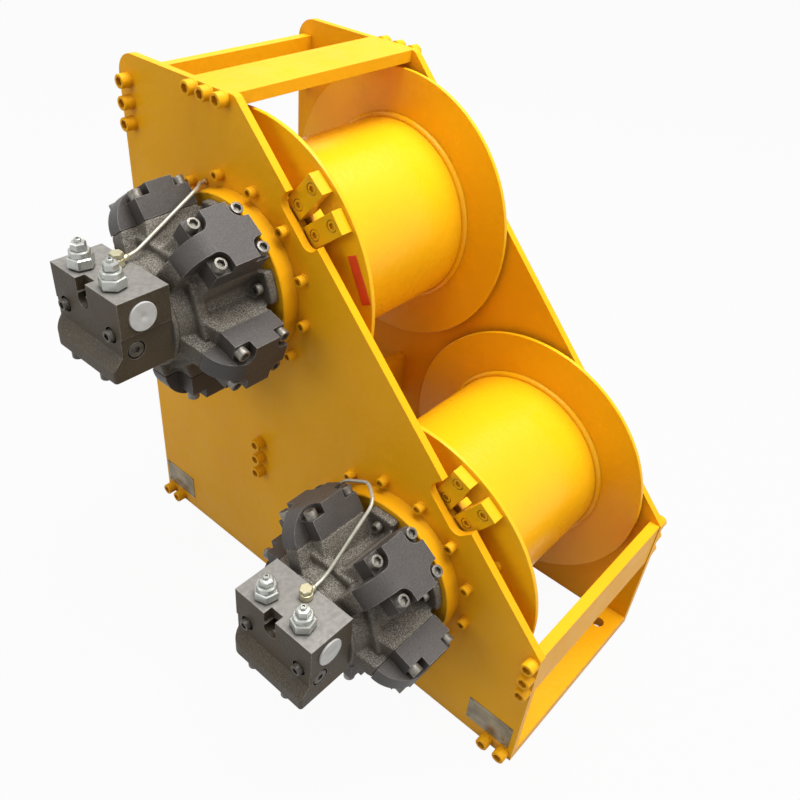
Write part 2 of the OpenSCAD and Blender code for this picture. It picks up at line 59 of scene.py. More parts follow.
bpy.ops.object.camera_add()
camera = bpy.context.object
turn = Matrix((camera_right, camera_up, -camera_ahead)).transposed()
camera.matrix_world = Matrix.Translation(camera_place) @ turn.to_4x4()
camera.data.sensor_width = 36
camera.data.lens = 36.81
camera.data.shift_x = 0.02886
camera.data.shift_y = 0.00796
bpy.context.scene.camera = camera


# ---- Shader arithmetic ----
# Every finish below is written with this class: arithmetic on a socket adds Math nodes,
# and node() adds any other node.

class Socket:
    def __init__(self, tree, socket=None):
        self.tree, self.socket = tree, socket

    def node(self, kind, settings=None, output=0, **inputs):
        """Adds a node; inputs are named with _ for a space, or _0, _1 ... by their place."""
        made = self.tree.nodes.new("ShaderNode" + kind)
        for key, value in (settings or {}).items():
            if key == "stops":
                for stop, (place, colour) in zip(made.color_ramp.elements, value):
                    stop.position, stop.color = place, colour
            else:
                setattr(made, key, value)
        for key, value in inputs.items():
            place = int(key[1:]) if key[0] == "_" else key.replace("_", " ")
            if isinstance(value, Socket):
                self.tree.links.new(value.socket, made.inputs[place])
            else:
                made.inputs[place].default_value = value
        return Socket(self.tree, made.outputs[output])

    def math(self, operation, first, second):
        return self.node("Math", {"operation": operation}, _0=first, _1=second)

    def __add__(self, other):
        return self.math("ADD", self, other)

    def __sub__(self, other):
        return self.math("SUBTRACT", self, other)

    def __rsub__(self, other):
        return self.math("SUBTRACT", other, self)

    def __mul__(self, other):
        return self.math("MULTIPLY", self, other)

    __radd__, __rmul__ = __add__, __mul__

    def span(self, low, high, start=0.0, end=1.0):
        """The value taken from low..high to start..end and kept inside it."""
        return self.node("MapRange", None, 0, _0=self, _1=low, _2=high, _3=start, _4=end)


class Finish(Socket):
    """A material being mixed: base is its colour, and give() sets the surface."""

    def __init__(self, name):
        self.material = bpy.data.materials.new(name)
        self.material.use_nodes = True
        super().__init__(self.material.node_tree)
        self.shader = self.tree.nodes["Principled BSDF"]
        self.place = self.node("TexCoord", None, 3)

    def noise(self, per_metre, detail=2.0, rough=0.5, stretch=(1, 1, 1)):
        """Soft noise fixed to the piece, with so many spots in a metre."""
        place = self.node("Mapping", None, 0, Vector=self.place, Scale=stretch)
        return self.node("TexNoise", None, 0, Vector=place, Scale=per_metre, Detail=detail, Roughness=rough)

    def blend(self, factor, first, second):
        """A colour between two colours."""
        return self.node("Mix", {"data_type": "RGBA"}, 2, _0=factor, _6=first, _7=second)

    def edges(self, radius):
        """1 on edges sharper than the radius, 0 on open faces."""
        rounded = self.node("Bevel", {"samples": 4}, 0, Radius=radius)
        flat = self.node("NewGeometry", None, 1)
        same = self.node("VectorMath", {"operation": "DOT_PRODUCT"}, 1, _0=rounded, _1=flat)
        return (1 - same).span(0.01, 0.2)

    def corners(self, distance):
        """1 deep in corners and gaps, where shade falls, 0 in the open; it is used to paint shade."""
        light = self.node("AmbientOcclusion", {"samples": 4}, 1, Distance=distance)
        return light.span(0.75, 0.2)

    def level(self):
        """1 on faces that look up, 0 on upright and lower ones."""
        normal = self.node("NewGeometry", None, 1)
        return self.node("SeparateXYZ", None, 2, Vector=normal).span(0.05, 0.8)

    def give(self, colour, rough, height=None, depth=0.001, metal=0.0, shine=0.5, coat=0.0, coat_rough=0.1):
        """Sets the surface; height is a relief of the given depth in metres."""
        values = {"Base Color": colour, "Roughness": rough, "Metallic": metal, "Specular IOR Level": shine,
                  "Coat Weight": coat, "Coat Roughness": coat_rough}
        if height is not None:
            values["Normal"] = self.node("Bump", None, 0, Height=height, Distance=depth)
        for name, value in values.items():
            if isinstance(value, Socket):
                self.tree.links.new(value.socket, self.shader.inputs[name])
            else:
                self.shader.inputs[name].default_value = value
        return self.material


# ---- Floor, background and lights ----
# A plain pale floor that keeps the winch's soft shadow, a white surround and three soft lamps:
# a strong one overhead, weaker ones at the motor side and the sloped front.

def show_white(tree, surface_in, surface, strength):
    """Lays plain white of the given strength over a surface for rays that show it directly."""
    seen = Socket(tree).node("LightPath", None, 0)
    path = seen.socket.node
    direct = (seen + Socket(tree, path.outputs["Is Glossy Ray"])
              + Socket(tree, path.outputs["Is Transmission Ray"])).span(0, 1, 0, strength)
    white = Socket(tree).node("Emission" if surface_in.node.type == "OUTPUT_MATERIAL" else "Background",
                              None, 0, Color=(1, 1, 1, 1), Strength=1.0)
    both = Socket(tree).node("MixShader", None, 0, _0=direct, _1=Socket(tree, surface), _2=white)
    tree.links.new(both.socket, surface_in)


floor_white, surround_light = 0.95, 0.36
bpy.ops.mesh.primitive_plane_add(size=24)
floor = bpy.context.object
floor.name = "floor"
floor_paint = Finish("floor_paint")
floor.data.materials.append(floor_paint.give((0.32, 0.32, 0.32, 1), 0.9))
show_white(floor_paint.tree, floor_paint.tree.nodes["Material Output"].inputs["Surface"],
           floor_paint.shader.outputs[0], floor_white)

world = bpy.data.worlds.new("surround")
world.use_nodes = True
bpy.context.scene.world = world
surround = world.node_tree.nodes["Background"]
surround.inputs["Color"].default_value = (1, 1, 1, 1)
surround.inputs["Strength"].default_value = surround_light
show_white(world.node_tree, world.node_tree.nodes["World Output"].inputs["Surface"], surround.outputs[0], 1.0)

lamps = {"overhead": ((0.45, -0.35, 4.4), (0, 0, 0.6), 3.0, 275),
         "motor_side": ((-3.2, 1.2, 1.9), (0, 0.1, 0.6), 1.8, 27),
         "front": ((0.6, -3.2, 1.8), (0, 0, 0.5), 1.8, 28)}
for name, (place, target, size, watts) in lamps.items():
    bpy.ops.object.light_add(type="AREA", location=place)
    lamp = bpy.context.object
    lamp.name = "lamp_" + name
    lamp.rotation_euler = (Vector(target) - Vector(place)).to_track_quat("-Z", "Y").to_euler()
    lamp.data.size = size
    lamp.data.energy = watts

bpy.context.scene.view_settings.view_transform = "Standard"


# ---- Side plates and cross members ----
# Laser-cut steel plate and flat bar, bolted together and sprayed yellow. The cut edges are
# lightly rounded, and the paint shows fine orange peel, and dust with painted shade in its corners.

edge_round = 0.0012
yellow = (0.87, 0.42, 0.006, 1)
yellow_deep = (0.82, 0.375, 0.004, 1)
yellow_dust_and_shade = (0.50, 0.25, 0.02, 1)
primer = (0.28, 0.17, 0.06, 1)


def pick_only(*objs):
    """Selects these objects alone; the first is the active one."""
    bpy.ops.object.select_all(action="DESELECT")
    for obj in objs:
        obj.select_set(True)
    bpy.context.view_layer.objects.active = objs[0]
    return objs[0]


def apply_modifier(obj, kind, **settings):
    """Adds a modifier with these settings and applies it at once."""
    pick_only(obj)
    modifier = obj.modifiers.new(kind.title(), kind)
    for key, value in settings.items():
        setattr(modifier, key, value)
    bpy.ops.object.modifier_apply(modifier=modifier.name)


def bevelled(obj, width, segments=2, **more):
    """Rounds the edges that turn by more than 35 degrees."""
    apply_modifier(obj, "BEVEL", width=width, segments=segments, limit_method="ANGLE",
                   angle_limit=radians(35), **more)


def merged_copy(name, *cad_nodes):
    """One mesh from copies of CAD nodes, with their loose triangles merged into flat faces."""
    copies = []
    for node in cad_nodes:
        copy = bpy.data.objects.new(name, nodes[node].data.copy())
        copy.data.materials.clear()
        bpy.context.scene.collection.objects.link(copy)
        copies.append(copy)
    pick_only(*copies)
    if len(copies) > 1:
        bpy.ops.object.join()
    bpy.ops.object.mode_set(mode="EDIT")
    bpy.ops.mesh.select_all(action="SELECT")
    bpy.ops.mesh.remove_doubles(threshold=0.00001)
    bpy.ops.mesh.dissolve_limited(angle_limit=radians(0.4))
    bpy.ops.object.mode_set(mode="OBJECT")
    return copies[0]


def smooth(obj, angle=35):
    """Smooth shading over edges that turn by less than the angle, in degrees."""
    pick_only(obj)
    bpy.ops.object.shade_smooth_by_angle(angle=radians(angle))
    return obj


def evened(obj, angle=35):
    """Smooth shading that leaves large flat faces flat."""
    apply_modifier(smooth(obj, angle), "WEIGHTED_NORMAL", keep_sharp=True)
    return obj


def finished(obj, material, body="frame", replaces=()):
    """Hands a finished piece to the frame."""
    obj.data.materials.append(material)
    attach(obj, body)
    if replaces:
        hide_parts(*replaces)
    return obj


def softened(name, cad_nodes, material, body="frame", width=edge_round):
    """Stands for CAD nodes, with their sharp edges rounded."""
    obj = merged_copy(name, *cad_nodes)
    bevelled(obj, width, miter_outer="MITER_ARC")
    return finished(evened(obj), material, body, cad_nodes)


def yellow_paint(name, colour, deep, peel, rough_least, shine, coat):
    """Sprayed paint: peel is the height of its orange peel."""
    f = Finish(name)
    cloud = f.noise(5, 3)
    colour = f.blend(cloud.span(0.35, 0.7), colour, deep)
    # Painted shade: the paint is darker deep in corners, mixed in spots with dust that also roughens it.
    dust_and_shade = f.corners(0.03) * f.noise(60, 3).span(0.3, 0.7, 0.35, 0.9)
    colour = f.blend(dust_and_shade, colour, yellow_dust_and_shade)
    chips = f.edges(0.0015) * f.noise(140, 4).span(0.60, 0.66)
    colour = f.blend(chips, colour, primer)
    rough = f.noise(24, 4).span(0.3, 0.7, rough_least, rough_least + 0.12) + dust_and_shade * 0.25
    skin = f.noise(420, 2) * 0.5 + f.noise(70, 1)
    return f.give(colour, rough, skin, peel, shine=shine, coat=coat, coat_rough=0.08)


frame_paint = yellow_paint("frame_paint", yellow, yellow_deep, 0.0008, 0.36, 0.12, 0.0)
for name in ("side_plate_motor_side", "side_plate_far", "top_plate", "rear_bar", "middle_bar",
             "front_bar", "front_foot", "rear_foot"):
    softened("painted_" + name, [name], frame_paint)


# ---- Screws of the frame ----
# Socket-head cap screws, M16 through the side plates into the cross members, with a split spring
# washer under each head; they were painted over with the frame. The far side has the same.

def turned(name, vertices, levels):
    """A closed round or hexagonal piece about Z: a disc drawn through (radius, height) levels, in mm."""
    (radius, height), *rest = [(r / 1000, z / 1000) for r, z in levels]
    pick_only(camera)
    bpy.ops.mesh.primitive_circle_add(vertices=vertices, radius=radius, fill_type="NGON")
    obj = bpy.context.object
    obj.name = name
    obj.data.transform(Matrix.Translation((0, 0, height)))
    bpy.ops.object.mode_set(mode="EDIT")
    bpy.ops.mesh.select_all(action="SELECT")
    for next_radius, next_height in rest:
        bpy.ops.mesh.extrude_region_move(TRANSFORM_OT_translate={"value": (0, 0, next_height - height)})
        scale = next_radius / radius
        bpy.ops.transform.resize(value=(scale, scale, 1), center_override=(0, 0, next_height))
        radius, height = next_radius, next_height
    bpy.ops.mesh.select_all(action="SELECT")
    bpy.ops.mesh.normals_make_consistent(inside=False)
    bpy.ops.object.mode_set(mode="OBJECT")
    return obj


def hex_socket(obj, flats, depth, floor_drop=1.0):
    """Sinks a hexagon, sizes in mm, into the top face of a piece turned with 24 sides."""
    bpy.ops.object.mode_set(mode="EDIT")
    bpy.ops.mesh.select_mode(type="FACE")
    bpy.ops.mesh.select_all(action="DESELECT")
    mesh = bmesh.from_edit_mesh(obj.data)
    top = max(mesh.faces, key=lambda face: (round(face.calc_center_median().z, 6), face.calc_area()))
    top.select = True
    rim = max(v.co.xy.length for v in top.verts)
    bmesh.update_edit_mesh(obj.data)
    bpy.ops.mesh.inset(thickness=(rim - flats / 2000) * 0.985)
    mesh = bmesh.from_edit_mesh(obj.data)
    for vertex in [v for v in mesh.verts if v.select]:
        angle = atan2(vertex.co.y, vertex.co.x)
        reach = flats / 2000 / cos((angle % (pi / 3)) - pi / 6)
        vertex.co.x, vertex.co.y = reach * cos(angle), reach * sin(angle)
    bmesh.update_edit_mesh(obj.data)
    bpy.ops.mesh.extrude_region_move(TRANSFORM_OT_translate={"value": (0, 0, -depth / 1000)})
    bpy.ops.mesh.extrude_region_move(TRANSFORM_OT_translate={"value": (0, 0, -floor_drop / 1000)})
    bpy.ops.transform.resize(value=(0.1, 0.1, 1), center_override=(0, 0, 0))
    bpy.ops.object.mode_set(mode="OBJECT")
    return obj


def joined(name, *objs):
    """The objects made one, under a name."""
    pick_only(*objs)
    if len(objs) > 1:
        bpy.ops.object.join()
    objs[0].name = name
    return objs[0]


def spring_washer(outer, inner, thick):
    """A square ring cut through and sprung a little apart, in mm."""
    ring = turned("washer", 28, [(outer, 0), (outer, thick), (inner, thick), (inner, 0.02)])
    bpy.ops.object.mode_set(mode="EDIT")
    mesh = bmesh.from_edit_mesh(ring.data)
    bmesh.ops.delete(mesh, geom=[f for f in mesh.faces if len(f.verts) > 4], context="FACES_ONLY")
    bmesh.update_edit_mesh(ring.data)
    bpy.ops.mesh.select_mode(type="EDGE")
    bpy.ops.mesh.select_all(action="DESELECT")
    bpy.ops.mesh.select_non_manifold(extend=False)
    bpy.ops.mesh.bridge_edge_loops()
    bpy.ops.mesh.select_all(action="SELECT")
    bpy.ops.mesh.normals_make_consistent(inside=False)
    bpy.ops.object.mode_set(mode="OBJECT")
    for vertex in ring.data.vertices:
        angle = atan2(vertex.co.y, vertex.co.x) % tau
        vertex.co.z += 0.0006 * (angle / tau - 0.5) if vertex.co.z > thick / 2000 else 0
    return ring


def cap_screw(head, height, flats, washer=None):
    """A socket-head screw along Z, seated at height 0; sizes in mm."""
    base = washer[2] if washer else 0
    screw = turned("head", 24, [(head, base), (head, base + height - 1), (head - 0.35, base + height - 0.3),
                                (head - 1.1, base + height)])
    hex_socket(screw, flats, height * 0.5)
    return joined("screw", screw, spring_washer(*washer)) if washer else screw


def towards(direction):
    """Turns a piece built along +Z to stand along the direction."""
    return Vector((0, 0, 1)).rotation_difference(Vector(direction)).to_matrix().to_4x4()


def twin(obj):
    """A copy with a mesh of its own."""
    copy = obj.copy()
    copy.data = obj.data.copy()
    bpy.context.scene.collection.objects.link(copy)
    return copy


def screw_set(name, screw, places, direction, seed):
    """One object holding copies of a screw at places in mm, each turned by chance about its own axis."""
    chance = Random(seed)
    copies = []
    for place in places:
        copy = twin(screw)
        where = Matrix.Translation(Vector(place) / 1000) @ towards(direction)
        copy.data.transform(where @ Matrix.Rotation(chance.uniform(0, tau), 4, "Z"))
        copies.append(copy)
    return smooth(joined(name, *copies), 30)


plate_face = 216
screw_rows = {
    "rear_bar": [(471.5, 884), (471.5, 920), (471.5, 956)],
    "top_plate": [(221.5, 990), (257.5, 990), (293.5, 990)],
    "middle_bar": [(158, 280), (158, 316), (158, 352)],
    "front_bar": [(-485.5, 212), (-485.5, 248), (-485.5, 284)],
    "rear_foot": [(444.5, 12.5), (480.5, 12.5)],
    "front_foot": [(-480.5, 12.5), (-444.5, 12.5)]}
m16_screw = cap_screw(12, 15.5, 14, washer=(12.4, 8.5, 4))
for side, direction in ((-1, (-1, 0, 0)), (1, (1, 0, 0))):
    places = [(side * plate_face, y, z) for row in screw_rows.values() for y, z in row]
    screws = screw_set("frame_screws_" + ("motor_side" if side < 0 else "far_side"), m16_screw, places,
                       direction, seed=5 + side)
    finished(screws, frame_paint)
bpy.data.objects.remove(m16_screw)


# ---- Gearboxes ----
# Cast and turned steel: only the round ring shows outside the motor-side plate, with M12 cap
# screws and spring washers round it. The rest of the gearbox stands inside the drum.

def circle_of_places(x, axis, radius, count, start):
    """Places in mm round an axis along X, the first one turned by start degrees from straight up."""
    angles = [radians(start) + k * tau / count for k in range(count)]
    return [(x, axis[0] - radius * sin(angle), axis[1] + radius * cos(angle)) for angle in angles]


upper_axis = (206, 702)
lower_axis = (-186, 296)
drums = {"upper": upper_axis, "lower": lower_axis}
m12_screw = cap_screw(9, 12, 10, washer=(10, 6.3, 3))
for name, axis in drums.items():
    softened(name + "_gearbox_painted", [name + "_gearbox"], frame_paint)
    places = circle_of_places(-plate_face, axis, radius=168, count=13, start=16)
    screws = screw_set(name + "_ring_screws", m12_screw, places, (-1, 0, 0), seed=20 + axis[0])
    finished(screws, frame_paint)


# ---- Bearing housings on the far plate ----
# Turned steel housings with a shallow cone, sprayed with the frame. Each one is bolted on with
# eight M12 cap screws.

bearing_face = plate_face + 14
for name, axis in drums.items():
    softened(name + "_bearing_painted", [name + "_bearing"], frame_paint)
    places = circle_of_places(bearing_face, axis, radius=92, count=8, start=22.5)
    screws = screw_set(name + "_bearing_screws", m12_screw, places, (1, 0, 0), seed=40 + axis[0])
    finished(screws, frame_paint)
bpy.data.objects.remove(m12_screw)


# ---- Rope drums ----
# Welded steel: a rolled barrel between two round flanges, with a run of weld at each end. They were
# sprayed by themselves, glossier than the frame.

lemon = (0.87, 0.46, 0.006, 1)
lemon_deep = (0.84, 0.425, 0.005, 1)
drum_paint = yellow_paint("drum_paint", lemon, lemon_deep, 0.0005, 0.24, 0.24, 0.06)
barrel_radius = 178
inner_faces = (-166, 185)
weld_radius, weld_thick, weld_ripples, weld_offset = barrel_radius + 1.5, 7, 150, 0.0015


def weld_run(name, axis, x, side):
    """A rounded bead in the corner at x round an axis along X, with the ripples of its passes."""
    bpy.ops.mesh.primitive_torus_add(major_segments=450, minor_segments=10,
                                     major_radius=weld_radius / 1000, minor_radius=weld_thick / 1000)
    bead = bpy.context.object
    bead.name = name
    chance = Random(int(weld_radius + axis[0]))
    drift = [chance.uniform(-0.4, 0.4) for _ in range(weld_ripples)]
    for vertex in bead.data.vertices:
        angle = atan2(vertex.co.y, vertex.co.x) % tau
        step = angle / tau * weld_ripples
        ripple = (1 - (2 * (step % 1) - 1) ** 2) * 0.6 + drift[int(step) % weld_ripples] * 0.4
        centre = Vector((cos(angle), sin(angle), 0)) * weld_radius / 1000
        vertex.co += (vertex.co - centre).normalized() * ripple / 1000 * 0.6
    bead_place = (x / 1000 + side * weld_offset, axis[0] / 1000, axis[1] / 1000)
    bead.data.transform(Matrix.Translation(bead_place) @ towards((1, 0, 0)))
    return smooth(bead, 60)


for name, axis in drums.items():
    body = name + "_drum"
    softened(name + "_barrel_painted", [name + "_barrel"], drum_paint, body)
    for flange in ("flange_motor_side", "flange_far"):
        softened(f"{name}_{flange}_painted", [f"{name}_{flange}"], drum_paint, body,
                 width=0.0015)
    for x, side in zip(inner_faces, (1, -1)):
        end = "motor_side" if side > 0 else "far"
        bead = weld_run(f"{name}_weld_{end}", axis, x, side)
        finished(bead, drum_paint, body)


# ---- Rope wedges ----
# Two flame-cut blocks on each motor-side flange clamp the rope's end in a slot that widens
# outwards. Each is held by two M12 cap screws sunk into it.

def counterbore(obj, place, direction, radius, depth):
    """Sinks a round pocket from its flat seat at the place outwards, in mm."""
    pocket = turned("pocket", 28, [(radius, 0), (radius, depth)])
    pocket.data.transform(Matrix.Translation(Vector(place) / 1000) @ towards(direction))
    apply_modifier(obj, "BOOLEAN", operation="DIFFERENCE", solver="EXACT", object=pocket)
    bpy.data.objects.remove(pocket)


slot_angles = {"upper": radians(45), "lower": radians(29.5)}
wedge_inner, wedge_length, wedge_width, slot_half = 186, 75, 38, 5.5
wedge_lean, wedge_seat = 6, -186.5
wedge_screw_ends = (16, wedge_length - 14)
wedge_screw = cap_screw(9, 9, 10)
for name, axis in drums.items():
    body = name + "_drum"
    angle = slot_angles[name]
    places = []
    for side in (-1, 1):
        for along in wedge_screw_ends:
            lean = radians(-side * wedge_lean)
            across = side * wedge_width / 2
            u = wedge_inner + along * cos(lean) + across * sin(lean)
            v = side * slot_half + across * cos(lean) - along * sin(lean)
            places.append((wedge_seat, axis[0] - u * sin(angle) + v * cos(angle),
                           axis[1] + u * cos(angle) + v * sin(angle)))
    wedges = merged_copy(name + "_wedges_painted", name + "_wedge_blocks")
    bevelled(wedges, 0.002)
    for place in places:
        counterbore(wedges, place, (-1, 0, 0), radius=10.4, depth=12)
    finished(evened(wedges), drum_paint, body, [name + "_wedge_blocks"])
    screws = screw_set(name + "_wedge_screws", wedge_screw, places, (-1, 0, 0), seed=60)
    finished(screws, drum_paint, body)
bpy.data.objects.remove(wedge_screw)


# ---- Small parts of the drums ----
# A red film sticker near the rim of the upper drum's flange, and a small round boss welded on the
# lower one.

def edit_outer_face(obj):
    """Opens the mesh for editing with its faces on the motor side selected."""
    bpy.ops.object.mode_set(mode="EDIT")
    bpy.ops.mesh.select_mode(type="FACE")
    bpy.ops.mesh.select_all(action="DESELECT")
    mesh = bmesh.from_edit_mesh(obj.data)
    for face in mesh.faces:
        face.select = face.normal.x < -0.9
    bmesh.update_edit_mesh(obj.data)


sticker_film = Finish("sticker_film")
film = sticker_film.noise(35, 3)
sticker_film.give(sticker_film.blend(film.span(0.35, 0.7), (0.80, 0.085, 0.020, 1), (0.70, 0.060, 0.014, 1)),
                  film.span(0.3, 0.7, 0.28, 0.4), sticker_film.noise(180, 2), 0.0003)
sticker = merged_copy("bare_sticker", "upper_sticker")
edit_outer_face(sticker)
film_edge, film_slope, film_sink = 0.0015, 0.0006, 0.0002
bpy.ops.mesh.inset(thickness=film_edge)
bpy.ops.mesh.inset(thickness=film_slope, depth=-film_sink)
bpy.ops.object.mode_set(mode="OBJECT")
bevelled(sticker, 0.0003)
finished(smooth(sticker), sticker_film.material, "upper_drum", ["upper_sticker"])

boss = turned("flange_boss", 24, [(9, 0), (9, 4), (7.6, 5.4), (5, 6), (3.2, 6), (2.6, 3)])
boss_place = (-0.1740, -0.366, 0.387)
boss.data.transform(Matrix.Translation(boss_place) @ towards((-1, 0, 0)))
finished(smooth(boss, 40), drum_paint, "lower_drum")


# ---- Nameplates ----
# Two brushed aluminium plates, each with a narrow groove pressed in round its field, riveted to the
# motor-side plate's bottom corners.

plate_metal = Finish("plate_metal")
brushed = plate_metal.noise(60, 3, 0.6, (1, 14, 1))
stain = plate_metal.noise(28, 4)
plate_metal.give(plate_metal.blend(stain.span(0.35, 0.7), (0.30, 0.25, 0.17, 1), (0.17, 0.14, 0.09, 1)),
                 brushed.span(0.3, 0.7, 0.36, 0.55), brushed, 0.0001, metal=0.75)
rivet = turned("rivet", 16, [(3, 0), (3, 0.5), (2.6, 1.3), (1.6, 1.8), (0.6, 2)])
rivet_inset, margin = 0.0045, 0.0085
groove_slope, groove_depth, groove_floor = 0.0006, 0.0004, 0.0014
for name in ("nameplate_rear", "nameplate_front"):
    low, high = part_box(name)
    plate = merged_copy("bare_" + name, name)
    edit_outer_face(plate)
    bpy.ops.mesh.inset(thickness=margin)
    bpy.ops.mesh.inset(thickness=groove_slope, depth=-groove_depth)
    bpy.ops.mesh.inset(thickness=groove_floor)
    bpy.ops.mesh.inset(thickness=groove_slope, depth=groove_depth)
    bpy.ops.object.mode_set(mode="OBJECT")
    finished(smooth(plate), plate_metal.material, "frame", [name])
    corners = [(low.x * 1000, y * 1000, z * 1000) for y in (low.y + rivet_inset, high.y - rivet_inset)
               for z in (low.z + rivet_inset, high.z - rivet_inset)]
    rivets = screw_set(name + "_rivets", rivet, corners, (-1, 0, 0), seed=3)
    finished(rivets, plate_metal.material)
bpy.data.objects.remove(rivet)


# ---- Motor castings ----
# Rough iron castings sprayed dark grey-brown: a mounting flange, a crankcase and five cylinder
# blocks with tapering noses and webs between them. Modelled for the upper drum and copied for the lower.

motor_step = Vector((0, lower_axis[0] - upper_axis[0], lower_axis[1] - upper_axis[1])) / 1000
motor_place = Matrix.Translation((0, upper_axis[0] / 1000, upper_axis[1] / 1000))


def casting_paint(name, dark, light, lit_speckle, sides, grains, grain, rough):
    """Thin paint on rough iron. Pale speckle on its grain tops is painted light from above, strongest on
    faces that look up and weaker on others; its corners get painted shade.
    """
    f = Finish(name)
    cloud = f.noise(18, 4)
    grit = f.noise(grains, 2, 0.7)
    colour = f.blend(cloud.span(0.35, 0.68), dark, light)
    # Pale speckle on the grain tops, painted as light from above: full on faces that look up, the given share
    # on upright ones.
    lit_grain_tops = grit.span(0.46, 0.62) * f.level().span(0, 1, sides, 1)
    colour = f.blend(lit_grain_tops, colour, lit_speckle)
    colour = f.blend(f.edges(0.002) * f.noise(90, 3).span(0.35, 0.6, 0.2, 0.8), colour, (0.33, 0.31, 0.28, 1))
    # Painted shade: darker brown deep in corners and gaps.
    colour = f.blend(f.corners(0.05) * 0.8, colour, (0.030, 0.020, 0.011, 1))
    skin = grit * 0.7 + f.noise(130, 3)
    return f.give(colour, cloud.span(0.3, 0.7, rough, rough + 0.14), skin, grain, shine=0.35)


# Its third colour is the pale speckle painted as light on the grain tops.
cast_iron = casting_paint("cast_iron", (0.060, 0.047, 0.031, 1), (0.095, 0.078, 0.058, 1),
                          (0.30, 0.285, 0.25, 1), 0.3, 560, 0.0016, 0.55)


def motor_pair(obj, part, material, replaced=None):
    """Finishes a piece of the upper motor and its copy on the lower one."""
    lower = twin(obj)
    lower.data.transform(Matrix.Translation(motor_step))
    lower.name, obj.name = "lower_" + part, "upper_" + part
    finished(obj, material, "frame", ["upper_" + replaced] if replaced else ())
    finished(lower, material, "frame", ["lower_" + replaced] if replaced else ())
    return obj, lower


casting = merged_copy("casting", "upper_motor_case")
apply_modifier(casting, "REMESH", mode="VOXEL", voxel_size=0.0026)
apply_modifier(casting, "SMOOTH", factor=0.6, iterations=3)
smooth(casting, 60)
motor_pair(casting, "casting", cast_iron, "motor_case")


# ---- Cylinder covers ----
# Deep machined caps with rounded noses, sprayed dark grey; the paint is thin on their edges.
# Four M14 cap screws hold each one in its corner pockets.

# Its third colour is the pale speckle painted as light on the grain tops.
cover_paint = casting_paint("cover_paint", (0.040, 0.034, 0.030, 1), (0.054, 0.047, 0.043, 1),
                            (0.09, 0.083, 0.077, 1), 0.1, 800, 0.0006, 0.42)
covers = merged_copy("covers", "upper_cylinder_covers")
bevelled(covers, 0.0022, 3)
motor_pair(evened(covers), "covers", cover_paint, "cylinder_covers")


def steel(name, colour, other, rough, grain=0.0004, metal=0.9):
    """Plated or bare machined steel with faint stains, and painted shade in its sockets and corners."""
    f = Finish(name)
    stain = f.noise(120, 4)
    tone = f.blend(stain.span(0.35, 0.65), colour, other)
    # Painted shade: darker in sockets and close corners.
    tone = f.blend(f.corners(0.006) * 0.7, tone, (0.05, 0.045, 0.035, 1))
    return f.give(tone, stain.span(0.3, 0.7, rough, rough + 0.15), f.noise(500, 2), grain, metal=metal)


black_steel = steel("black_steel", (0.060, 0.050, 0.040, 1), (0.10, 0.090, 0.075, 1), 0.38, metal=0.4)
worn_steel = steel("worn_steel", (0.22, 0.205, 0.18, 1), (0.12, 0.11, 0.09, 1), 0.36, metal=0.6)
cylinder_turns = [radians(36 + 72 * k) for k in range(5)]
cover_screw_seat = 160
cover_screw_places = [(x, t) for x in (-354.5, -273.5) for t in (-35.5, 35.5)]
m14_screw = cap_screw(10.3, 14, 12)
cover_screws = []
chance = Random(8)
for turn_angle in cylinder_turns:
    for x, t in cover_screw_places:
        screw = twin(m14_screw)
        screw.data.transform(motor_place @ Matrix.Rotation(turn_angle, 4, "X")
                             @ Matrix.Translation((x / 1000, t / 1000, cover_screw_seat / 1000))
                             @ Matrix.Rotation(chance.uniform(0, tau), 4, "Z"))
        cover_screws.append(screw)
motor_pair(smooth(joined("cover_screws", *cover_screws), 30), "cover_screws", worn_steel)
bpy.data.objects.remove(m14_screw)


# ---- Mounting screws of the motors ----
# Five M12 cap screws hold each motor to its gearbox ring, one through each lobe of the mounting
# flange, in the valleys between the cylinder blocks.

flange_screw = cap_screw(9, 12, 10)
motor_flange_face = -264
flange_places = circle_of_places(motor_flange_face, upper_axis, radius=116, count=5, start=0)
flange_screws = screw_set("flange_screws", flange_screw, flange_places, (-1, 0, 0), seed=9)
motor_pair(flange_screws, "flange_screws", worn_steel)
bpy.data.objects.remove(flange_screw)


# ---- Distributors and valve blocks ----
# A short round distributor joins each motor to its valve block: a forged block with a ground top
# above a rough cast one that stands out further. Cap screws hold them from the front and from below.

distributor = merged_copy("distributor", "upper_distributor")
bevelled(distributor, 0.002)
motor_pair(smooth(distributor), "distributor_painted", cast_iron, "distributor")

# Its third colour is the pale speckle painted as light on the grain tops.
block_paint = casting_paint("block_paint", (0.034, 0.022, 0.009, 1), (0.048, 0.033, 0.016, 1),
                            (0.10, 0.088, 0.065, 1), 0.25, 520, 0.0008, 0.46)
ground_steel = steel("ground_steel", (0.23, 0.22, 0.20, 1), (0.18, 0.17, 0.155, 1), 0.42, 0.0003, 0.25)
block = merged_copy("valve_block", "upper_valve_block")
front_screws = [(-496, upper_axis[0] + y, upper_axis[1] + 27) for y in (-58, 58)]
lower_screws = [(-508, upper_axis[0] + y, upper_axis[1] - 42) for y in (-38, 38)]
for place in front_screws:
    counterbore(block, place, (-1, 0, 0), radius=13, depth=30)
bevelled(block, 0.0012)
evened(block)
for obj in motor_pair(block, "valve_block_painted", block_paint, "valve_block"):
    obj.data.materials.append(ground_steel)
    highest = max(v.co.z for v in obj.data.vertices)
    for face in obj.data.polygons:
        if face.normal.z > 0.9 and face.center.z > highest - 0.001:
            face.material_index = 1

block_screw = cap_screw(9.5, 14, 10)
block_screws = joined(
    "block_screws",
    screw_set("front_screws", block_screw, front_screws, (-1, 0, 0), seed=12),
    screw_set("lower_screws", block_screw, lower_screws, (0, 0, -1), seed=13))
motor_pair(block_screws, "block_screws", black_steel)
bpy.data.objects.remove(block_screw)


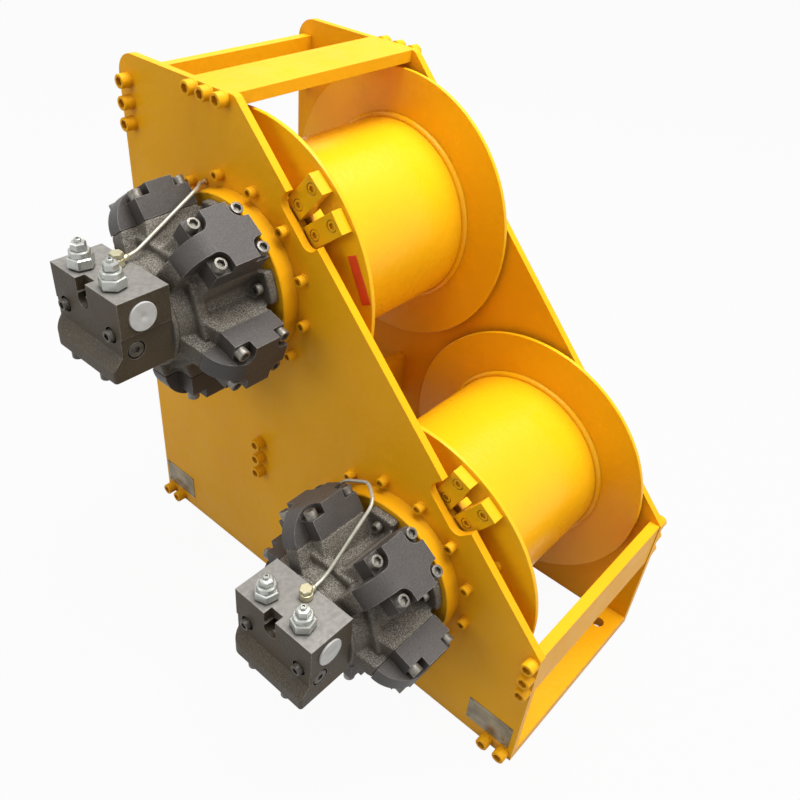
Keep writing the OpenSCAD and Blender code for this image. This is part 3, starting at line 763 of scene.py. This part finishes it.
# ---- Ports of the valve blocks ----
# Pale plastic caps close the round ports on both sides of each block, and a hex-socket steel plug
# sits in the recess below each cap.

cap_plastic = Finish("cap_plastic")
scuff = cap_plastic.noise(90, 4)
cap_plastic.give(cap_plastic.blend(scuff.span(0.4, 0.7), (0.50, 0.50, 0.485, 1), (0.44, 0.43, 0.405, 1)),
                 scuff.span(0.3, 0.7, 0.42, 0.6), cap_plastic.noise(260, 2), 0.0002)
port_plug = turned("plug", 24, [(13, 0), (13, 6), (12, 7)])
hex_socket(port_plug, 10, 4)


def at_port(side, x, y, z):
    """The place of a small part, in metres from the motor axis, on one side of the block."""
    return Matrix.Translation((x, upper_axis[0] / 1000 + side * y,
                               upper_axis[1] / 1000 + z)) @ towards((0, side, 0))


caps, plugs = [], []
for side in (-1, 1):
    port_cap = turned("cap", 48, [(23, 0), (23, 2.2), (22.2, 3), (12, 3), (3, 2.9), (2.4, 2.6), (0.8, 2.6)])
    port_cap.data.transform(at_port(side, -0.463, 0.084, 0.055))
    caps.append(port_cap)
    plug = twin(port_plug)
    plug.data.transform(at_port(side, -0.478, 0.074, 0.002))
    plugs.append(plug)
bpy.data.objects.remove(port_plug)
motor_pair(smooth(joined("caps", *caps), 30), "port_caps_moulded", cap_plastic.material,
           "port_caps")
motor_pair(smooth(joined("plugs", *plugs), 30), "port_plugs", black_steel)


# ---- Relief valves ----
# Two zinc-plated cartridge valves stand on each block: a hexagon of 36 mm across the flats on a
# rubber ring, a round lock cap, a small lock nut and the adjusting screw with its socket.

zinc_plate = steel("zinc_plate", (0.48, 0.49, 0.46, 1), (0.40, 0.41, 0.38, 1), 0.26, 0.0002, 0.8)
valve_x, valve_offset, valve_turn, block_height = -476, 40, 0.3, 88
valves, seals = [], []
for side in (-1, 1):
    screw = turned("screw", 24, [(5, 40.4), (5, 45.2), (4.2, 46)])
    hex_socket(screw, 4.5, 3, 0.6)
    cartridge = joined(
        "valve",
        turned("hexagon", 6, [(17, 1.2), (18.6, 1.8), (20.7, 3.4), (20.7, 17.2), (18.4, 19)]),
        turned("collar", 36, [(15, 18.6), (16, 19.4), (16, 27.4), (14.6, 29), (11, 29)]),
        turned("lock_nut", 6, [(10.6, 28.6), (12, 29.6), (12, 38.6), (10.4, 40.6), (8, 41)]), screw)
    seal = turned("seal", 32, [(17.4, 0), (18, 0.5), (18, 1.2), (16, 1.6)])
    valve_seat = (valve_x / 1000, (upper_axis[0] + side * valve_offset) / 1000,
                  (upper_axis[1] + block_height) / 1000)
    where = Matrix.Translation(valve_seat) @ Matrix.Rotation(valve_turn * side, 4, "Z")
    for piece, group in ((cartridge, valves), (seal, seals)):
        piece.data.transform(where)
        group.append(piece)
rubber = steel("rubber", (0.02, 0.02, 0.02, 1), (0.035, 0.034, 0.032, 1), 0.6, 0.0003, metal=0.0)
motor_pair(smooth(joined("valves", *valves), 30), "relief_valves_plated", zinc_plate, "relief_valves")
motor_pair(smooth(joined("seals", *seals), 40), "valve_seals", rubber)


# ---- Brake pipes ----
# A thin steel pipe with a pale finish runs from a banjo bolt on each valve block, over the motor, to
# a brass fitting in the side plate. The routes are those of the CAD model, with finer bends.

pipe_steel = steel("pipe_steel", (0.46, 0.44, 0.36, 1), (0.36, 0.34, 0.27, 1), 0.3, 0.0001, metal=0.35)
yellow_zinc = steel("yellow_zinc", (0.55, 0.52, 0.36, 1), (0.46, 0.42, 0.26, 1), 0.28, 0.0002, metal=0.7)
brass = steel("brass", (0.62, 0.42, 0.16, 1), (0.44, 0.28, 0.09, 1), 0.3, 0.0003)
pipe_dir = Vector((0.98, 0, 0.19)).normalized()
fitting_circle, fitting_height = 157, 6


def over_plate(degrees, height):
    """A point over the side plate on the circle of the fittings, from the motor axis; the angle is
    taken from straight up towards the rear."""
    return Vector((-plate_face - height, fitting_circle * sin(radians(degrees)),
                   fitting_circle * cos(radians(degrees))))


def rounded_route(corners, lengths, steps=9):
    """Points along straight legs whose inner corners are rounded over the given lengths of each leg."""
    points = [corners[0]]
    for before, corner, after, length in zip(corners, corners[1:], corners[2:], lengths):
        back, on = (before - corner).normalized(), (after - corner).normalized()
        points += [corner + length * ((1 - t) ** 2 * back + t ** 2 * on)
                   for t in (i / steps for i in range(steps + 1))]
    return points + [corners[-1]]


def pipe_through(name, points, radius):
    """A round pipe with closed ends through points in mm."""
    curve = bpy.data.curves.new(name, "CURVE")
    curve.dimensions = "3D"
    curve.bevel_depth = radius / 1000
    curve.bevel_resolution = 5
    curve.use_fill_caps = True
    spline = curve.splines.new("POLY")
    spline.points.add(len(points) - 1)
    for target, point in zip(spline.points, points):
        target.co = (*(point / 1000), 1)
    tube = bpy.data.objects.new(name, curve)
    bpy.context.scene.collection.objects.link(tube)
    pick_only(tube)
    bpy.ops.object.convert(target="MESH")
    return smooth(bpy.context.object, 60)


banjo_x, arm_height, arm_length, pipe_radius = -436, 5.3, 20, 3


def pipe_start(y):
    """Where a pipe leaves the arm of its banjo, from the motor axis; y is the banjo's place."""
    return Vector((banjo_x, y, block_height + arm_height)) + arm_length * pipe_dir


routes = {
    "upper": (9, 27.5, 15, [(-262, 36, 152)], 14, [9, 14, 4]),
    "lower": (-5, 54, 24, [(-283, 0, 183), (-254, 38, 182), (-250, 95, 145)], 20, [16, 18, 14, 20, 8])}
for name, (banjo_y, angle, first_leg, middle, last_corner, lengths) in routes.items():
    axis = Vector((0, *drums[name]))
    start = pipe_start(banjo_y)
    corners = [start, start + first_leg * pipe_dir, *map(Vector, middle), over_plate(angle, last_corner),
               over_plate(angle, fitting_height)]
    pipe = pipe_through(name + "_pipe", [axis + p for p in rounded_route(corners, lengths)], pipe_radius)
    finished(pipe, pipe_steel, "frame", [name + "_brake_pipe"])

    eye = turned("eye", 32, [(9.6, 0), (9.6, 1), (11, 1.6), (11, 12.4), (9.6, 13), (9.6, 14)])
    head = turned("head", 6, [(10, 14), (11, 14.6), (11, 20.6), (9.8, 22)])
    arm = turned("arm", 24, [(5, 9), (5, 17), (4.6, 18), (4, 18.4), (3.2, 20)])
    banjo_place = Vector((banjo_x, banjo_y, block_height))
    arm.data.transform(Matrix.Translation((start - arm_length * pipe_dir - banjo_place) / 1000)
                       @ towards(pipe_dir))
    banjo = joined(name + "_banjo", eye, head, arm)
    banjo.data.transform(Matrix.Translation((axis + banjo_place) / 1000))
    finished(smooth(banjo, 30), yellow_zinc)

    fitting = joined(name + "_fitting",
                     turned("hexagon", 6, [(5, 0), (5.5, 0.6), (5.5, 4), (5, 4.6)]),
                     turned("nut", 24, [(4.4, 4.4), (4.4, 5.4), (3.4, 6)]))
    fitting.data.transform(Matrix.Translation((axis + over_plate(angle, 0)) / 1000) @ towards((-1, 0, 0)))
    finished(smooth(fitting, 30), brass, "frame", [name + "_pipe_fittings"])
